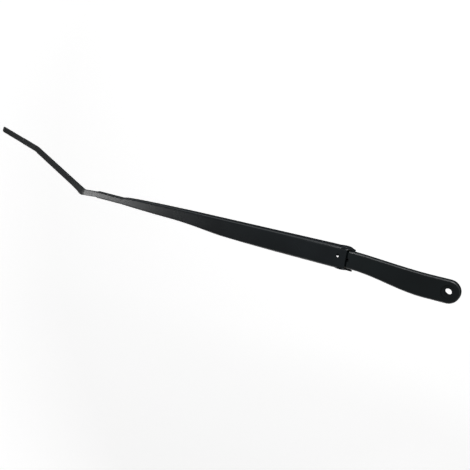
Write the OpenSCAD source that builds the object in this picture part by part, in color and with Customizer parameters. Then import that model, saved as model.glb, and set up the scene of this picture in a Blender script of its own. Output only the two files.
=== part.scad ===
// Windscreen wiper arm, modelled as it lies folded down on its stop.
// Origin: on the spindle axis, in the face of the boss that sits on the spindle's shoulder.
// +Z points up the spindle, and the arm reaches toward -X.

/* [Head] */
// Diameter of the round end over the spindle
head_end_d = 27; // [25:0.5:32]
// Height of the top over the spindle
head_top_z = 18; // [16:0.5:20]
// Rise of the top from the spindle to the hinge
head_rise = 6.3; // [5:0.1:6.8]
// Depth of the rim around the head
head_rim_h = 9; // [7:0.5:10]
// Thickness of the skin between the pocket and the top
head_skin_t = 3.5; // [2.5:0.1:5]
// Thickness of the rim's wall
head_wall_t = 2.8; // [2:0.1:4]
// Rounding of the top edge
head_edge_r = 2.2; // [1:0.1:3]
// Thickness of the cross ribs in the pocket
rib_t = 2; // [1.5:0.1:3]
// Diameter of the boss on the spindle
boss_d = 22; // [19:0.5:23]

/* [Spindle bore] */
// Diameter of the hole for the threaded stud
stud_hole_d = 8.2; // [8.1:0.1:8.8]
// Diameter of the tapered socket at the boss's face
socket_d = 12.2; // [11:0.1:13]
// Diameter of the tapered socket at its inner end
socket_end_d = 9.8; // [9.2:0.1:10.4]
// Depth of the tapered socket
socket_h = 8.5; // [7:0.1:9.5]
// Diameter of the nut's seat
nut_seat_d = 16.5; // [14:0.5:18]
// Height of the nut's seat
nut_seat_z = 17; // [14:0.1:17.4]

/* [Hinge] */
// Distance from the spindle to the hinge pin
hinge_x = 125.5; // [110:0.5:150]
// Sideways offset of the arm from the spindle
hinge_y = 8.2; // [4:0.1:9]
// Height of the hinge pin
hinge_z = 16; // [15.5:0.1:16.5]
// Diameter of the hinge pin
pin_d = 6; // [5:0.1:6.4]
// Diameter of the hinge pin's heads
pin_head_d = 10.4; // [8:0.1:11]
// Height of the hinge pin's heads
pin_head_h = 1.2; // [0.8:0.1:1.8]
// Radius of the knuckle around the hinge pin
knuckle_r = 7.5; // [6.5:0.1:7.6]
// Outer diameter of the hinge bushes
bush_d = 8.4; // [7.6:0.1:8.8]
// Diameter of the flange on each bush
bush_flange_d = 13; // [11:0.5:14]
// Thickness of the flange on each bush
bush_flange_t = 1.1; // [0.8:0.1:1.5]

/* [Channel] */
// Length from the nose to the hinge pin
channel_l = 360.5; // [320:0.5:420]
// Width over the ears
channel_w = 26.2; // [24:0.1:28]
// Depth of the sides at the hinge
channel_h = 15; // [13:0.5:16]
// Thickness of the sheet
sheet_t = 1.2; // [1:0.1:1.4]
// Width of the nose
nose_w = 9.2; // [8.8:0.1:9.6]
// Length of the crimped nose
nose_l = 42; // [25:1:50]
// Height of the top above the hinge pin
top_rise = 9; // [9:0.1:9.6]
// Reach of the top past the hinge pin
top_reach = 5.5; // [4:0.1:5.6]
// Reach of the ears past the hinge pin
ear_reach = 14.5; // [12:0.5:15]
// Radius of the ears around the hinge pin
ear_r = 9.2; // [8.5:0.1:10]
// Crown of the top at its widest
crown_h = 0.2; // [0.1:0.1:1]
// Width of the small hole in the top, along the arm
top_hole_w = 3.2; // [2:0.1:4]
// Length of the small hole in the top, across the arm
top_hole_l = 4.6; // [4.2:0.1:6]
// Distance from the hinge pin to the small hole
top_hole_x = 4.6; // [4:0.1:8]
// Offset of the small hole toward the arm's far side
top_hole_y = 2.6; // [0:0.1:5]

/* [Bar] */
// Width of the flat bar
bar_w = 8; // [7.6:0.1:8.6]
// Thickness of the flat bar
bar_t = 4; // [3.4:0.1:4]
// Length of bar between the nose and the first bend
stub_l = 21; // [8:1:30]
// Sideways turn of the bar as it leaves the nose
nose_turn = 4.5; // [0:0.5:8]
// Downward angle of the first bend
bend_down = 9; // [4:1:20]
// Sideways angle of the first bend
bend_side = 25; // [10:1:30]
// Extra width of the bar at the outside of the first bend
bend_swell = 2.2; // [0:0.1:3]
// Length of bar between the bends
middle_l = 111; // [80:1:140]
// Upward angle of the second bend
bend_up = 5.5; // [2:0.5:12]
// Backward angle of the second bend
bend_back = 7.2; // [4:0.1:15]
// Length of bar between the second bend and the tongue
tip_l = 24.5; // [12:0.5:40]
// Middle radius of the first bend
side_bend_r = 14; // [10:1:40]
// Middle radius of the second bend
back_bend_r = 60; // [40:1:90]

/* [Tongue] */
// Length of the straight tongue for the blade
tongue_l = 48; // [30:1:52]
// Thickness of the tongue
tongue_t = 3; // [2.6:0.1:3.2]
// Width of the catch groove at the tongue's root
catch_w = 2; // [1.2:0.1:2.4]
// Depth of the catch groove
catch_h = 1.2; // [0.5:0.1:1.4]
// Length of the lead-in slope at the tongue's end
lead_l = 5; // [3:0.5:8]

/* [Spring and link] */
// Distance of the link pin past the hinge pin
link_pin_x = 4.5; // [4.3:0.1:4.7]
// Distance of the link pin below the hinge pin
link_pin_z = 7.5; // [7.4:0.1:7.8]
// Diameter of the link pin
link_pin_d = 4; // [3.4:0.1:4.2]
// Thickness of the link
link_t = 3; // [2.4:0.1:3.2]
// Width of the link's strip
link_w = 3.8; // [3.4:0.1:3.8]
// Length of the link from its pin to the spring's hook
link_l = 55; // [45:1:65]
// Distance from the hinge pin to the spring's hook in the bar
anchor_x = 140; // [120:1:170]
// Height of the spring's hook above the hinge pin
anchor_z = 2.5; // [2.4:0.1:2.8]
// Diameter of the spring's wire
wire_d = 1.8; // [1.4:0.1:1.8]
// Outer diameter of the spring's coils
coil_d = 9; // [8.6:0.1:9.2]
// Distance between turns of the spring
coil_pitch = 2.3; // [2.1:0.1:2.8]

/* [Hidden] */
$fn = 48;

// Clearances
fixed_gap = 0.02;
running_gap = 0.05;
side_play = 0.2;
sheet_gap = 0.1;
hook_gap = 0.15;
swing_gap = 0.45;
slot_gap = 0.4;

// Places, all taken from the hinge pin
hinge = [-hinge_x, hinge_y, hinge_z];
top_z = hinge_z + top_rise;
nose_x = -hinge_x - channel_l;
link_axis = hinge + [link_pin_x, 0, -link_pin_z];
anchor = hinge + [-anchor_x, 0, anchor_z];
pull = link_axis - anchor;
pull_length = norm(pull);
pull_angle = atan2(-pull[2], pull[0]);

// Hooks of the spring: radius of the wire's centre, and of the room inside the hook
coil_r = (coil_d - wire_d) / 2;
hook_room = coil_r - wire_d / 2 - hook_gap;

// Widths between the ears
ears_inner = channel_w / 2 - sheet_t;
cheek_y = ears_inner - side_play - bush_flange_t;
slot_w = link_t + 2 * slot_gap;

// Shape curves: 0 at the start of a taper, 1 at its end
function ease(t) = let (s = max(0, min(1, t))) s * s * (3 - 2 * s);
function span(k, x, i = 0) = (i >= len(k) - 2 || x < k[i + 1][0]) ? i : span(k, x, i + 1);
function knot_slope(k, i) =
    let (a = max(i - 1, 0), b = min(i + 1, len(k) - 1))
    (k[b][1] - k[a][1]) / (k[b][0] - k[a][0]);
function curve(k, x) =
    let (i = span(k, x), w = k[i + 1][0] - k[i][0], t = (x - k[i][0]) / w)
    (2 * t^3 - 3 * t^2 + 1) * k[i][1] + (t^3 - 2 * t^2 + t) * w * knot_slope(k, i)
    + (3 * t^2 - 2 * t^3) * k[i + 1][1] + (t^3 - t^2) * w * knot_slope(k, i + 1);

// Joins rings into one closed solid. Each ring has an even count of points, runs anticlockwise
// as seen from the last one, and its first half faces its second half, so strips close its ends.
module loft(rings) {
    m = len(rings[0]);
    n = len(rings);
    points = [for (ring = rings) each ring];
    sides = [for (i = [0:n - 2], j = [0:m - 1])
        let (a = i * m + j, b = i * m + (j + 1) % m)
        each [[a, b + m, b], [a, a + m, b + m]]];
    strips = [for (j = [0:m / 2 - 2]) [j, j + 1, m - 2 - j, m - 1 - j]];
    ends = [for (s = strips) [for (k = [3:-1:0]) (n - 1) * m + s[k]]];
    polyhedron(points = points, faces = concat(strips, sides, ends), convexity = 8);
}

// Extrudes a shape drawn in X and Z by w, centred on y
module across(w, y = 0) {
    translate([0, y, 0]) rotate([90, 0, 0]) linear_extrude(height = w, center = true) children();
}

module across_cylinder(r, w, x = 0, z = 0) {
    across(w) translate([x, z]) circle(r = r);
}

// Head: plan outline
neck_x = -hinge_x + 20;
widest_x = -28;
straight_x = -hinge_x + 7.5;
bend_end_x = -23;
plate_start_x = -hinge_x + 5;
swing_r = norm([top_reach, top_rise + crown_h]) + swing_gap;
swing_floor = -2.3;

function head_half(x) =
    cheek_y + (head_end_d / 2 - cheek_y) * ease((x - neck_x) / (widest_x - neck_x));
function head_mid(x) = hinge_y * (1 - ease((x - straight_x) / (bend_end_x - straight_x)));
function head_top(x) = head_top_z + head_rise * (-x) / (hinge_x - top_reach);

outline_steps = 14;
end_angles = [for (a = [-85:10:85]) a];

// Plan outline from start to the round end and back, drawn in by inset
function head_outline(inset, start = plate_start_x) =
    let (stations = [for (i = [0:outline_steps]) start * (1 - i / outline_steps)])
    concat(
        [for (x = stations) [x, head_mid(x) - head_half(x) + inset]],
        [for (a = end_angles) (head_end_d / 2 - inset) * [cos(a), sin(a)]],
        [for (i = [outline_steps:-1:0])
            let (x = stations[i]) [x, head_mid(x) + head_half(x) - inset]]);

// The same outline at a depth below the sloping top
function plan_ring(outline, drop) = [for (p = outline) [p[0], p[1], head_top(p[0]) - drop]];

module head_plate() {
    difference() {
        loft(concat(
            [plan_ring(head_outline(1), head_rim_h), plan_ring(head_outline(0), head_rim_h - 1)],
            [for (a = [0:30:90])
                plan_ring(head_outline(head_edge_r * (1 - cos(a))), head_edge_r * (1 - sin(a)))]));
        translate(hinge) across_cylinder(swing_r, 60);
    }
}

// Hollow under the plate, open below, with the boss and the ribs left standing
pocket_start_x = -hinge_x + 34;
rib_places = [0.3, 0.5, 0.7];

module head_pocket() {
    outline = head_outline(head_wall_t, pocket_start_x);
    difference() {
        loft([plan_ring(outline, head_rim_h + 2), plan_ring(outline, head_skin_t)]);
        cylinder(d = boss_d - 1, h = 60, center = true);
        for (place = rib_places)
            translate([pocket_start_x * place - rib_t / 2, -40, 0]) cube([rib_t, 80, 60]);
    }
}

// Knuckle, lug for the link pin, and the web that joins them to the plate, in side view
lug_r = link_pin_d / 2 + 2.3;
module knuckle_side() {
    circle(r = knuckle_r);
    translate([link_pin_x, -link_pin_z]) circle(r = lug_r);
    difference() {
        polygon([[-2, -5], [link_pin_x - 2, -link_pin_z - 3], [link_pin_x + 1, -link_pin_z - 4],
                 [24, -8], [38, -1], [38, 3], [9, 3], [5, -2]]);
        intersection() {
            circle(r = swing_r);
            translate([0, swing_floor]) square([40, 40]);
        }
    }
}

// In plan the cheeks fill the space between the ears, and the web behind them is narrower
web_inset = 2.4;
web_start_x = -hinge_x + 10;
module knuckle_plan() {
    left = -hinge_x - 20;
    cheek_end_x = web_start_x - 1.5;
    polygon(concat([[left, hinge_y - cheek_y], [cheek_end_x, hinge_y - cheek_y]],
                   head_outline(web_inset, web_start_x),
                   [[cheek_end_x, hinge_y + cheek_y], [left, hinge_y + cheek_y]]));
}

module arm_head() {
    color([0.10, 0.105, 0.11])
    difference() {
        union() {
            difference() {
                head_plate();
                head_pocket();
            }
            intersection() {
                translate(hinge) across(60) knuckle_side();
                translate([0, 0, -20]) linear_extrude(height = 60) knuckle_plan();
            }
            cylinder(d = boss_d, h = head_top_z - 3);
        }
        // slot for the link, between the two cheeks
        translate([-hinge_x - 20, hinge_y - slot_w / 2, -20])
            cube([20 + link_pin_x + link_pin_d / 2 + 2.6, slot_w, 60]);
        translate(hinge) across_cylinder(bush_d / 2 + fixed_gap, 60);
        translate(link_axis) across_cylinder(link_pin_d / 2 + fixed_gap, 60);
        // spindle: tapered socket, stud hole and nut seat
        translate([0, 0, -0.5]) cylinder(d = stud_hole_d, h = 40);
        cylinder(d1 = socket_d, d2 = socket_end_d, h = socket_h);
        translate([0, 0, nut_seat_z]) cylinder(d = nut_seat_d, h = 20);
    }
}

// Flanged bush in one cheek; side is 1 or -1
module hinge_bush(side) {
    length = cheek_y - slot_w / 2 - 0.6;
    color([0.78, 0.77, 0.72])
    translate(hinge) rotate([-90 * side, 0, 0]) difference() {
        union() {
            translate([0, 0, cheek_y - length]) cylinder(d = bush_d, h = length);
            translate([0, 0, cheek_y]) cylinder(d = bush_flange_d, h = bush_flange_t);
        }
        cylinder(d = pin_d + 2 * running_gap, h = 30);
    }
}

module link_pin() {
    color([0.62, 0.63, 0.64])
    translate(link_axis) across_cylinder(link_pin_d / 2, 2 * cheek_y - 0.4);
}

// Rivet with a low head on each side
module hinge_pin() {
    color([0.10, 0.105, 0.11])
    translate(hinge) {
        across_cylinder(pin_d / 2, channel_w + 0.02);
        for (side = [-1, 1])
            rotate([-90 * side, 0, 0]) translate([0, 0, channel_w / 2 + 0.01]) {
                cylinder(d = pin_head_d, h = pin_head_h * 0.45);
                translate([0, 0, pin_head_h * 0.45])
                    cylinder(d1 = pin_head_d, d2 = pin_head_d * 0.6, h = pin_head_h * 0.55);
            }
    }
}

// Channel: width and depth along its length, u from the nose
parallel_l = 20;
sheet_l = channel_l + top_reach;
taper_l = sheet_l - nose_l - parallel_l;
nose_h = bar_t + sheet_gap + 2 * sheet_t + 0.1;
taper_power = 0.54;
// Bulge of the near side: share of the taper's length, share of its growth
near_side = [[0, 0], [0.06, 0.09], [0.19, 0.21], [0.3, 0.27], [0.39, 0.47], [0.49, 0.78],
             [0.57, 0.89], [0.7, 0.97], [0.8, 1], [1, 1]];

function taper_at(u) = max(0, min(1, (u - nose_l) / taper_l));
function half_far(u) = nose_w / 2 + (channel_w - nose_w) / 2 * pow(taper_at(u), taper_power);
function half_near(u) = nose_w / 2 + (channel_w - nose_w) / 2 * curve(near_side, taper_at(u));
function depth(u) = nose_h + (channel_h - nose_h) * pow(taper_at(u), taper_power);
function fold_r(u) = sheet_t + 0.6 + 1.4 * taper_at(u);

function fold(cy, cz, r, from, to) =
    [for (i = [0:6]) let (a = from + (to - from) * i / 6) [cy + r * cos(a), cz + r * sin(a)]];

// Section of the folded sheet: outside from the far foot to the near foot, and back inside
function channel_section(u) =
    let (a = half_far(u), b = half_near(u), h = depth(u), r = fold_r(u), t = sheet_t,
         lift = crown_h * taper_at(u), wide = a + b - 2 * r)
    concat(
        [[a, -h]],
        fold(a - r, -r, r, 0, 90),
        [for (s = [0.25, 0.5, 0.75]) [a - r - s * wide, lift * 4 * s * (1 - s)]],
        fold(r - b, -r, r, 90, 180),
        [[-b, -h], [t - b, -h]],
        fold(r - b, -r, r - t, 180, 90),
        [for (s = [0.75, 0.5, 0.25]) [a - r - s * wide, lift * 4 * s * (1 - s) - t]],
        fold(a - r, -r, r - t, 90, 0),
        [[a - t, -h]]);

channel_stations = concat([0, nose_l], [for (i = [1:30]) nose_l + taper_l * pow(i / 30, 1.15)], [sheet_l]);

module channel_sheet() {
    loft([for (u = channel_stations) [for (p = channel_section(u)) [nose_x + u, p[0], p[1]]]]);
}

// Lips of the nose, folded under the bar
lip_w = 3;
lip_l = nose_l + 8;
module nose_lip(side) {
    z = -nose_h;
    translate([nose_x, 0, z]) linear_extrude(height = sheet_t)
        polygon([[0, side * (nose_w / 2 - 0.4)], [lip_l, side * (nose_w / 2 - 0.4)],
                 [nose_l, side * (nose_w / 2 - lip_w)], [0, side * (nose_w / 2 - lip_w)]]);
}

// Ear in side view, about the hinge pin: round below, and sloped up to its tip
ear_back = 16;
ear_slope_h = 1.8;
module ear_side() {
    tip_z = top_rise - fold_r(sheet_l) - 0.4;
    circle(r = ear_r);
    polygon([[-ear_back, tip_z], [-ear_back, top_rise - channel_h], [-ear_r, top_rise - channel_h],
             [0, -ear_r * 0.8], [ear_r * 0.78, -ear_r * 0.54], [ear_reach, tip_z - ear_slope_h],
             [ear_reach, tip_z]]);
}

module channel() {
    color([0.10, 0.105, 0.11])
    difference() {
        union() {
            translate([0, hinge_y, top_z]) channel_sheet();
            translate([0, hinge_y, top_z]) for (side = [-1, 1]) nose_lip(side);
            for (side = [-1, 1])
                translate(hinge) across(sheet_t, side * (channel_w - sheet_t) / 2) ear_side();
        }
        translate(hinge) across_cylinder(pin_d / 2 + fixed_gap, 60);
        translate([-hinge_x - top_hole_x, hinge_y + top_hole_y, top_z - 5]) top_hole();
    }
}

module top_hole() {
    linear_extrude(height = 10)
        polygon([for (a = [0:15:345]) [top_hole_w / 2 * cos(a), top_hole_l / 2 * sin(a)]]);
}

// Bar: one section carried along its centre line. A frame is a point, and the directions
// forward, left and up there. The bar starts at the nose and runs toward the tip.
bar_corner = 0.5;
bar_top = -sheet_t - sheet_gap;
bar_start = [[nose_x, hinge_y, top_z + bar_top - bar_t / 2], [-1, 0, 0], [0, -1, 0], [0, 0, 1]];

function moved(f, d) = [f[0] + d * f[1], f[1], f[2], f[3]];
function yawed(f, a) = [f[0], f[1] * cos(a) + f[2] * sin(a), f[2] * cos(a) - f[1] * sin(a), f[3]];
function pitched(f, a) = [f[0], f[1] * cos(a) + f[3] * sin(a), f[2], f[3] * cos(a) - f[1] * sin(a)];
function stepped(f, s) =
    pitched(yawed(moved(pitched(yawed(f, s[1] / 2), s[2] / 2), s[0]), s[1] / 2), s[2] / 2);

// Steps of a straight or a bend: length, turn to the left, turn upward
function steps(n, l, left, up) = [for (i = [1:n]) [l / n, left / n, up / n]];
function arc(r, a) = r * a * PI / 180;

bar_steps = concat(
    steps(2, 3, nose_turn, 0),
    steps(1, stub_l - 3, 0, 0),
    steps(6, arc(side_bend_r, bend_side), -bend_side, -bend_down),
    [for (l = [4, 6, 10, middle_l - 20]) [l, 0, 0]],
    steps(6, arc(back_bend_r, bend_back), bend_back, bend_up),
    steps(1, tip_l, 0, 0));

// Share of the swell at each frame: it grows through the first bend and fades behind it
bar_swell = [0, 0, 0, 0, 0, 0.1, 0.25, 0.45, 0.65, 0.9, 1, 0.6, 0.3, 0.15];
function swell_at(i) = i < len(bar_swell) ? bend_swell * bar_swell[i] : 0;

bar_frames = [for (i = 0, f = bar_start; i <= len(bar_steps);
    i = i + 1, f = i <= len(bar_steps) ? stepped(f, bar_steps[i - 1]) : f) f];

// Section of width w from low to high about the centre line, grown on its left by swell
function bar_ring(f, w, low, high, swell = 0) =
    let (c = bar_corner, a = w / 2 + swell, b = w / 2)
    [for (p = [[a - c, low], [a, low + c], [a, high - c], [a - c, high],
               [c - b, high], [-b, high - c], [-b, low + c], [c - b, low]])
        f[0] + p[0] * f[2] + p[1] * f[3]];

// Root inside the channel: distance from the nose, width, low side and high side
root_end_reach = 1.5;
root_l = channel_l - anchor_x + root_end_reach;
root_end_t = 2;
root_end_l = 12;
joggle_l = 8;
hook_hole_d = 4.6;
hook_hole_x = -sqrt(hook_room^2 - (root_end_t / 2)^2) - hook_hole_d / 2;
neck_l = nose_l + 26;
neck_w = nose_w - 2 * sheet_t - 2 * sheet_gap;
half_t = bar_t / 2;
end_z = anchor[2] - bar_start[0][2];
root_sections = [
    [-root_l, bar_w - 2, end_z - root_end_t / 2, end_z + root_end_t / 2],
    [-root_l + 1, bar_w, end_z - root_end_t / 2, end_z + root_end_t / 2],
    [-root_l + root_end_l, bar_w, end_z - root_end_t / 2, end_z + root_end_t / 2],
    [-root_l + root_end_l + joggle_l, bar_w, -half_t, half_t],
    [-neck_l - 2, bar_w, -half_t, half_t],
    [-neck_l, neck_w, -half_t, half_t],
    [0.3, neck_w, -half_t, half_t],
    [1.1, bar_w, -half_t, half_t]];

// Tongue for the blade, with its catch groove and its lead-in slope, in the same form
half_tongue = tongue_t / 2;
tongue_sections = [
    [0.3, bar_w, -half_t, half_t - catch_h],
    [catch_w, bar_w, -half_t, half_t - catch_h],
    [catch_w + 0.6, bar_w, -half_tongue, half_tongue],
    [tongue_l - lead_l, bar_w, -half_tongue, half_tongue],
    [tongue_l - 1.6, bar_w, -half_tongue, half_tongue - 0.8],
    [tongue_l - 0.6, bar_w - 0.8, -half_tongue + 0.2, half_tongue - 1],
    [tongue_l, bar_w - 2.4, -half_tongue + 0.5, half_tongue - 1.2]];

module arm_rod() {
    tip = bar_frames[len(bar_frames) - 1];
    color([0.10, 0.105, 0.11])
    difference() {
        loft(concat(
            [for (s = root_sections) bar_ring(moved(bar_start, s[0]), s[1], s[2], s[3])],
            [for (i = [1:len(bar_frames) - 1]) bar_ring(bar_frames[i], bar_w, -half_t, half_t, swell_at(i))],
            [for (s = tongue_sections) bar_ring(moved(tip, s[0]), s[1], s[2], s[3])]));
        translate([anchor[0] + hook_hole_x, hinge_y, 0]) cylinder(d = hook_hole_d, h = 60);
    }
}

// Link: an eye, a C round the hinge pin, and a strip with a hole for the spring's hook
link_ring_x = norm([link_pin_x, link_pin_z]);
link_ring_r = 6.4;
link_eye_r = 4;
link_end_r = 3.9;
link_hole_d = 3.2;
link_hole_x = link_l - sqrt(hook_room^2 - (link_t / 2)^2) - link_hole_d / 2;

module link_side() {
    difference() {
        union() {
            circle(r = link_eye_r);
            intersection() {
                translate([-link_ring_x, 0]) difference() {
                    circle(r = link_ring_r + link_w / 2);
                    circle(r = link_ring_r - link_w / 2);
                }
                translate([-40, -40]) square([80, 40]);
            }
            translate([-link_hole_x, -link_w / 2])
                square([link_hole_x - link_ring_x - link_ring_r, link_w]);
            translate([-link_hole_x, 0]) circle(r = link_end_r);
        }
        circle(d = link_pin_d + 2 * running_gap);
        translate([-link_hole_x, 0]) circle(d = link_hole_d);
    }
}

module spring_link() {
    color([0.62, 0.63, 0.64])
    translate(link_axis) rotate([0, pull_angle, 0]) across(link_t) link_side();
}

// Spring: one wire swept along a hook, a bend, the coils, a bend and a hook
wire_sides = 6;
steps_per_turn = 10;
spring_l = pull_length - link_l;
body_start = coil_r + wire_d;
lead_turn = 60;
turns = round((spring_l - 2 * body_start) / coil_pitch) - lead_turn * 2 / 360 + 0.25;
turn_l = (spring_l - 2 * body_start) / turns;

function unit(v) = v / norm(v);
function bezier(a, b, c, d, t) =
    (1 - t)^3 * a + 3 * (1 - t)^2 * t * b + 3 * (1 - t) * t^2 * c + t^3 * d;

coil_from = 90 + lead_turn;
coil_to = coil_from + 360 * turns;
function coil_point(a) = [body_start + turn_l * (a - coil_from) / 360, coil_r * cos(a), coil_r * sin(a)];
function coil_way(a) = unit([turn_l / 360 * 57.3, -coil_r * sin(a), coil_r * cos(a)]);

// The far hook lies where the coil would be lead_turn further on
hook_turn = coil_to + lead_turn;
function end_hook_point(a) =
    [spring_l + coil_r * sin(a), coil_r * cos(a) * cos(hook_turn), coil_r * cos(a) * sin(hook_turn)];

spring_path = concat(
    [for (a = [325:-21.4:95]) [coil_r * cos(a), 0, coil_r * sin(a)]],
    [for (t = [0:0.2:0.8]) bezier([0, 0, coil_r], [coil_r, 0, coil_r],
        coil_point(coil_from) - coil_way(coil_from) * coil_r * 0.7, coil_point(coil_from), t)],
    [for (i = [0:round(turns * steps_per_turn)])
        coil_point(coil_from + (coil_to - coil_from) * i / round(turns * steps_per_turn))],
    [for (t = [0.2:0.2:0.8]) bezier(coil_point(coil_to), coil_point(coil_to) + coil_way(coil_to) * coil_r * 0.7,
        end_hook_point(0) - [coil_r, 0, 0], end_hook_point(0), t)],
    [for (a = [0:21.4:235]) end_hook_point(a)]);

function along(p, i) = unit(p[min(i + 1, len(p) - 1)] - p[max(i - 1, 0)]);
function square_to(v, t) = unit(v - (v * t) * t);

module wire(path, d, sides) {
    normals = [for (i = 0, v = square_to([0, 1, 0], along(path, 0)); i < len(path);
        i = i + 1, v = i < len(path) ? square_to(v, along(path, i)) : v) v];
    loft([for (i = [0:len(path) - 1])
        let (t = along(path, i), n = normals[i], b = cross(t, n))
        [for (k = [0:sides - 1]) path[i] + d / 2 * (n * cos(360 * k / sides) + b * sin(360 * k / sides))]]);
}

module tension_spring() {
    color([0.45, 0.46, 0.47])
    translate(anchor) rotate([0, pull_angle, 0]) wire(spring_path, wire_d, wire_sides);
}

arm_head();
hinge_bush(-1);  // hinge_bush_left
hinge_bush(1);  // hinge_bush_right
link_pin();
hinge_pin();
channel();
arm_rod();
spring_link();
tension_spring();
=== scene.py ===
"""Windscreen wiper arm without its blade: cast head, pressed channel, cranked flat bar."""
import math

import bmesh
import bpy
from mathutils import Matrix, Vector


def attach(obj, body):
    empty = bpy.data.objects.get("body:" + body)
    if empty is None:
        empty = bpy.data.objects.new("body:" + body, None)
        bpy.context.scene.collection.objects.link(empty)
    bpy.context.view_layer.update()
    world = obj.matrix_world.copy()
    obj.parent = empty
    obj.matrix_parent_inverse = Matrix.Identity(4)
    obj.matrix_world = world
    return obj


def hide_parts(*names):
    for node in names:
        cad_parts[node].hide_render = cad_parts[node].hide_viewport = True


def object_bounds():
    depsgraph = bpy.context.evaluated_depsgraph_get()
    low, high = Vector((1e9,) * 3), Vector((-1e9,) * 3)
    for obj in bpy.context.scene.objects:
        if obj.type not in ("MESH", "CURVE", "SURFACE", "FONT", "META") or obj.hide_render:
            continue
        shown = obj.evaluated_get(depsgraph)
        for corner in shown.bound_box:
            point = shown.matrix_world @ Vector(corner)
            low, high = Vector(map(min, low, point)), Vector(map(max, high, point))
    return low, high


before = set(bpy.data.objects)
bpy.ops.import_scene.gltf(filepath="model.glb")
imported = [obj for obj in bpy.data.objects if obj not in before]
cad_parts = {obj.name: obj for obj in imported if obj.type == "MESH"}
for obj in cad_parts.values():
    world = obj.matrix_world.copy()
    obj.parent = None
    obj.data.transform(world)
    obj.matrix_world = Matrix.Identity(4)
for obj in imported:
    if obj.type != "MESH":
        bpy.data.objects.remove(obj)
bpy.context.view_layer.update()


# The view. The arm runs from the head at the lower right to the tip at the upper left, and the
# camera looks down on it from above the head, close enough for the bar to look thinner far off.
MM = 0.001
CAMERA_AT = Vector((101.9, 195.5, 803.7)) * MM
CAMERA_LOOKS = Vector((-0.4170, -0.2181, -0.8823))
CAMERA_UP = Vector((-0.2322, 0.9641, -0.1286))
FOCAL_PX = 700
FRAME_PX = 470
SENSOR = 36


def facing(place, looks, up):
    """The matrix of a lamp or camera at a place, turned to look along a direction."""
    back = -looks.normalized()
    right = up.cross(back).normalized()
    return Matrix.Translation(place) @ Matrix((right, back.cross(right), back)).transposed().to_4x4()


camera_data = bpy.data.cameras.new("camera")
camera_data.lens = SENSOR * FOCAL_PX / FRAME_PX
camera_data.sensor_width = SENSOR
camera_data.sensor_fit = "HORIZONTAL"
camera_data.clip_end = 50
camera = bpy.data.objects.new("camera", camera_data)
camera.matrix_world = facing(CAMERA_AT, CAMERA_LOOKS, CAMERA_UP)
bpy.context.scene.collection.objects.link(camera)
bpy.context.scene.camera = camera


# The head is a zinc die casting, painted satin black. Its top slopes down to a round end over the
# spindle, and underneath it is hollow, with cross ribs and a boss for the spindle's taper.
CAST_EDGE = 0.35 * MM
CAST_BLACK = "#101618"
PEEL_MM = 1.6


def linear(code):
    """A colour written in sRGB hex, as the linear values that a shader takes."""
    parts = [int(code[i:i + 2], 16) / 255 for i in (1, 3, 5)]
    return [c / 12.92 if c <= 0.04045 else ((c + 0.055) / 1.055) ** 2.4 for c in parts] + [1]


def add_node(tree, kind, settings=None, inputs=None, links=None):
    """Adds one node, sets its properties and sockets, and links sockets to earlier nodes' outputs."""
    node = tree.nodes.new(kind)
    for key, value in (settings or {}).items():
        setattr(node, key, value)
    for key, value in (inputs or {}).items():
        node.inputs[key].default_value = value
    for key, (source, output) in (links or {}).items():
        tree.links.new(source.outputs[output], node.inputs[key])
    return node


def material_start(name):
    """A new material's tree with its shader and the object coordinates that patterns read."""
    material = bpy.data.materials.new(name)
    material.use_nodes = True
    tree = material.node_tree
    tree.nodes.clear()
    place = add_node(tree, "ShaderNodeTexCoord")
    shader = add_node(tree, "ShaderNodeBsdfPrincipled")
    add_node(tree, "ShaderNodeOutputMaterial", links={"Surface": (shader, "BSDF")})
    return material, tree, shader, place


def painted_black(name, code, grain_mm, roughness, grain_depth):
    """Satin black paint: even colour, a fine orange peel that breaks the gloss, faint cloudiness."""
    material, tree, shader, place = material_start(name)
    peel = add_node(tree, "ShaderNodeTexNoise", inputs={"Scale": 1000 / grain_mm, "Detail": 3, "Roughness": 0.55},
                    links={"Vector": (place, "Object")})
    cloud = add_node(tree, "ShaderNodeTexNoise", inputs={"Scale": 22, "Detail": 2},
                     links={"Vector": (place, "Object")})
    shade = add_node(tree, "ShaderNodeValToRGB", links={"Fac": (cloud, "Fac")})
    shade.color_ramp.elements[0].position = 0.3
    shade.color_ramp.elements[0].color = [c * 0.82 for c in linear(code)[:3]] + [1]
    shade.color_ramp.elements[1].position = 0.7
    shade.color_ramp.elements[1].color = [c * 1.18 for c in linear(code)[:3]] + [1]
    gloss = add_node(tree, "ShaderNodeMapRange",
                     inputs={"To Min": roughness - 0.04, "To Max": roughness + 0.05}, links={"Value": (cloud, "Fac")})
    bump = add_node(tree, "ShaderNodeBump", inputs={"Strength": 1, "Distance": grain_depth * MM},
                    links={"Height": (peel, "Fac")})
    tree.links.new(shade.outputs["Color"], shader.inputs["Base Color"])
    tree.links.new(gloss.outputs["Result"], shader.inputs["Roughness"])
    tree.links.new(bump.outputs["Normal"], shader.inputs["Normal"])
    return material


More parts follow.
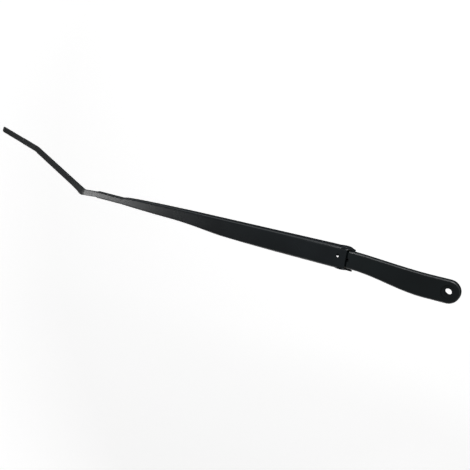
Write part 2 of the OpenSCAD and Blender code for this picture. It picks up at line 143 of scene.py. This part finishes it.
def finished_copy(node, name, edge, material, body, smooth_to=32):
    """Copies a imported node, joins its flats, breaks its sharp edges and shades its curves smooth."""
    bm = bmesh.new()
    bm.from_mesh(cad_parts[node].data)
    bmesh.ops.remove_doubles(bm, verts=bm.verts, dist=2e-6)
    bmesh.ops.dissolve_limit(bm, angle_limit=math.radians(0.4), verts=bm.verts, edges=bm.edges)
    sharp = [e for e in bm.edges if len(e.link_faces) == 2 and e.calc_face_angle() > math.radians(35)]
    if edge:
        bmesh.ops.bevel(bm, geom=sharp, offset=edge, offset_type="OFFSET", affect="EDGES", segments=2,
                        profile=0.5, clamp_overlap=True, material=-1)
    mesh = bpy.data.meshes.new(name)
    bm.to_mesh(mesh)
    bm.free()
    mesh.shade_smooth()
    mesh.set_sharp_from_angle(angle=math.radians(smooth_to))
    piece = bpy.data.objects.new(name, mesh)
    bpy.context.scene.collection.objects.link(piece)
    mesh.materials.append(material)
    flat = piece.modifiers.new("flats stay flat", "WEIGHTED_NORMAL")
    flat.keep_sharp = True
    flat.weight = 90
    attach(piece, body)
    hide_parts(node)
    return piece


cast_paint = painted_black("satin_black_on_casting", CAST_BLACK, PEEL_MM, 0.30, 0.012)
finished_copy("arm_head", "cast_head", CAST_EDGE, cast_paint, "head")


# The channel is one strip of sheet steel folded down along both sides, powder coated satin black.
# Its nose is crimped round the bar, its sides deepen toward the hinge and end in two round ears.
SHEET_EDGE = 0.25 * MM
sheet_paint = painted_black("satin_black_on_sheet", "#13181b", 1.3, 0.26, 0.003)
finished_copy("channel", "pressed_channel", SHEET_EDGE, sheet_paint, "arm")


# The bar is flat spring steel with rolled edges, cranked sideways and down in front of the nose.
# A straight tongue at its free end carries the blade, behind a shallow catch groove.
BAR_EDGE = 0.2 * MM
bar_paint = painted_black("satin_black_on_bar", "#161a1c", 1.3, 0.26, 0.004)
finished_copy("arm_rod", "flat_bar", BAR_EDGE, bar_paint, "arm")


# The hinge is a rivet through both ears, painted over with them. It turns in two flanged bushes
# of natural acetal, pressed into the casting.
finished_copy("hinge_pin", "hinge_rivet", 0.2 * MM, sheet_paint, "arm")


def moulded(name, code, roughness):
    """Natural moulded acetal: milky, slightly translucent, with a fine eroded grain."""
    material, tree, shader, place = material_start(name)
    grain = add_node(tree, "ShaderNodeTexNoise", inputs={"Scale": 1000 / 0.8, "Detail": 2},
                     links={"Vector": (place, "Object")})
    bump = add_node(tree, "ShaderNodeBump", inputs={"Strength": 1, "Distance": 0.006 * MM},
                    links={"Height": (grain, "Fac")})
    shader.inputs["Base Color"].default_value = linear(code)
    shader.inputs["Roughness"].default_value = roughness
    shader.inputs["Subsurface Weight"].default_value = 0.15
    shader.inputs["Subsurface Scale"].default_value = 1 * MM
    tree.links.new(bump.outputs["Normal"], shader.inputs["Normal"])
    return material


acetal = moulded("natural_acetal", "#cfc9b8", 0.45)
for side in ("left", "right"):
    finished_copy(f"hinge_bush_{side}", f"flanged_bush_{side}", 0.15 * MM, acetal, "head")


# The spring pulls the arm down through a flat link that bends round the hinge rivet. The link
# hangs on a small pin in the casting. Link and pin are zinc plated, the spring is oiled wire.
def plated(name, code, roughness, grain_mm):
    """Zinc plate or drawn wire: a metal with fine scratches that run along it."""
    material, tree, shader, place = material_start(name)
    stretch = add_node(tree, "ShaderNodeMapping", inputs={"Scale": (0.15, 1, 1)},
                       links={"Vector": (place, "Object")})
    marks = add_node(tree, "ShaderNodeTexNoise", inputs={"Scale": 1000 / grain_mm, "Detail": 4},
                     links={"Vector": (stretch, "Vector")})
    gloss = add_node(tree, "ShaderNodeMapRange",
                     inputs={"To Min": roughness - 0.08, "To Max": roughness + 0.12}, links={"Value": (marks, "Fac")})
    bump = add_node(tree, "ShaderNodeBump", inputs={"Strength": 0.6, "Distance": 0.008 * MM},
                    links={"Height": (marks, "Fac")})
    shader.inputs["Base Color"].default_value = linear(code)
    shader.inputs["Metallic"].default_value = 1
    tree.links.new(gloss.outputs["Result"], shader.inputs["Roughness"])
    tree.links.new(bump.outputs["Normal"], shader.inputs["Normal"])
    return material


zinc = plated("zinc_plate", "#b9bdc2", 0.32, 0.6)
wire = plated("oiled_spring_wire", "#6f7275", 0.35, 0.4)
finished_copy("link_pin", "link_cross_pin", 0.2 * MM, zinc, "head")
finished_copy("spring_link", "c_link", 0.2 * MM, zinc, "link")
finished_copy("tension_spring", "pull_spring", 0, wire, "spring", smooth_to=75)


# The studio: a pale floor well below the arm, which is held by its spindle, a white surround, and
# soft lamps. Mirrored rays meet white walls under a dark ceiling, so the black tops stay black.
FLOOR_BELOW = 0.30
low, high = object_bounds()
bm = bmesh.new()
bmesh.ops.create_grid(bm, x_segments=1, y_segments=1, size=8)
bmesh.ops.translate(bm, verts=bm.verts, vec=(-0.3, 0, low[2] - FLOOR_BELOW))
floor_mesh = bpy.data.meshes.new("floor")
bm.to_mesh(floor_mesh)
bm.free()
floor = bpy.data.objects.new("floor", floor_mesh)
bpy.context.scene.collection.objects.link(floor)


floor_paint = bpy.data.materials.new("pale_floor")
floor_paint.use_nodes = True
tree = floor_paint.node_tree
tree.nodes.clear()
rays = add_node(tree, "ShaderNodeLightPath")
around = add_node(tree, "ShaderNodeBsdfDiffuse", inputs={"Color": linear("#3c3c3c")})
pale = add_node(tree, "ShaderNodeBsdfDiffuse", inputs={"Color": linear("#f4f4f4")})
spot = add_node(tree, "ShaderNodeNewGeometry")
distance = add_node(tree, "ShaderNodeVectorMath", {"operation": "LENGTH"}, links={0: (spot, "Position")})
fade = add_node(tree, "ShaderNodeMapRange", {"clamp": True},
                {"From Min": 0.9, "From Max": 2.5, "To Min": 0.5, "To Max": 1}, {"Value": (distance, "Value")})
glow = add_node(tree, "ShaderNodeEmission", links={"Strength": (fade, "Result")})
seen = add_node(tree, "ShaderNodeAddShader", links={0: (pale, "BSDF"), 1: (glow, "Emission")})
place = add_node(tree, "ShaderNodeSeparateXYZ", links={"Vector": (spot, "Position")})
beside = add_node(tree, "ShaderNodeMath", {"operation": "SUBTRACT"}, {1: 0.1}, {0: (place, "Y")})
off_strip = add_node(tree, "ShaderNodeMath", {"operation": "ABSOLUTE"}, links={0: (beside, "Value")})
strip = add_node(tree, "ShaderNodeMapRange", {"clamp": True},
                 {"From Min": 0.4, "From Max": 0.8, "To Min": 1, "To Max": 0}, {"Value": (off_strip, "Value")})
dark_strip = add_node(tree, "ShaderNodeMath", {"operation": "MULTIPLY"},
                      links={0: (rays, "Is Glossy Ray"), 1: (strip, "Result")})
ground = add_node(tree, "ShaderNodeMixShader",
                  links={0: (dark_strip, "Value"), 1: (seen, "Shader"), 2: (around, "BSDF")})
bounce = add_node(tree, "ShaderNodeMixShader",
                  links={0: (rays, "Is Diffuse Ray"), 1: (ground, "Shader"), 2: (pale, "BSDF")})
clear = add_node(tree, "ShaderNodeBsdfTransparent")
floor_side = add_node(tree, "ShaderNodeMixShader",
                      links={0: (spot, "Backfacing"), 1: (bounce, "Shader"), 2: (clear, "BSDF")})
add_node(tree, "ShaderNodeOutputMaterial", links={"Surface": (floor_side, "Shader")})
floor_mesh.materials.append(floor_paint)

world = bpy.data.worlds.new("studio_air")
bpy.context.scene.world = world
world.use_nodes = True
tree = world.node_tree
tree.nodes.clear()
rays = add_node(tree, "ShaderNodeLightPath")
air = add_node(tree, "ShaderNodeBackground", inputs={"Color": (1, 1, 1, 1), "Strength": 0.16})
white = add_node(tree, "ShaderNodeBackground", inputs={"Color": (1, 1, 1, 1), "Strength": 1})
sky = add_node(tree, "ShaderNodeTexCoord")
height = add_node(tree, "ShaderNodeSeparateXYZ", links={"Vector": (sky, "Generated")})
wall = add_node(tree, "ShaderNodeMapRange", {"clamp": True},
                {"From Min": 0.5, "From Max": 0.2, "To Min": 0, "To Max": 1}, {"Value": (height, "Z")})
mirrored_rays = add_node(tree, "ShaderNodeMath", {"operation": "MAXIMUM"},
                         links={0: (rays, "Is Glossy Ray"), 1: (rays, "Is Transmission Ray")})
mirrored_wall = add_node(tree, "ShaderNodeMath", {"operation": "MULTIPLY"},
                         links={0: (mirrored_rays, "Value"), 1: (wall, "Result")})
seen_white = add_node(tree, "ShaderNodeMath", {"operation": "MAXIMUM"},
                      links={0: (rays, "Is Camera Ray"), 1: (mirrored_wall, "Value")})
pick = add_node(tree, "ShaderNodeMixShader",
                links={0: (seen_white, "Value"), 1: (air, "Background"), 2: (white, "Background")})
add_node(tree, "ShaderNodeOutputWorld", links={"Surface": (pick, "Shader")})


def soft_lamp(name, aim, direction, distance, size, power):
    """A square soft lamp that faces a point from a direction."""
    data = bpy.data.lights.new(name, "AREA")
    data.shape = "SQUARE"
    data.size = size
    data.energy = power
    lamp = bpy.data.objects.new(name, data)
    toward = Vector(direction).normalized()
    lamp.matrix_world = facing(Vector(aim) + toward * distance, -toward, Vector((0, 1, 0)))
    bpy.context.scene.collection.objects.link(lamp)
    return lamp


stub = Vector((-0.505, 0.0082, 0.024))
past_stub = Vector((-0.53, 0.0082, 0.024))
view = (CAMERA_AT - past_stub).normalized()
mirrored = Vector((-view.x, -view.y, view.z))
soft_lamp("nose_lamp", stub, mirrored, 1.2, 0.2, 1.75)
soft_lamp("side_lamp", (-0.3, 0, 0), (-0.1, -0.95, 0.35), 2.2, 1.0, 6)
soft_lamp("far_lamp", (-0.3, 0, 0), (0.35, 0.85, 0.4), 2.2, 1.0, 34)
soft_lamp("edge_lamp", (-0.115, 0.018, 0.022), (-0.2, 0.69, 0.69), 0.25, 0.04, 0.2)

bpy.context.scene.view_settings.view_transform = "Standard"
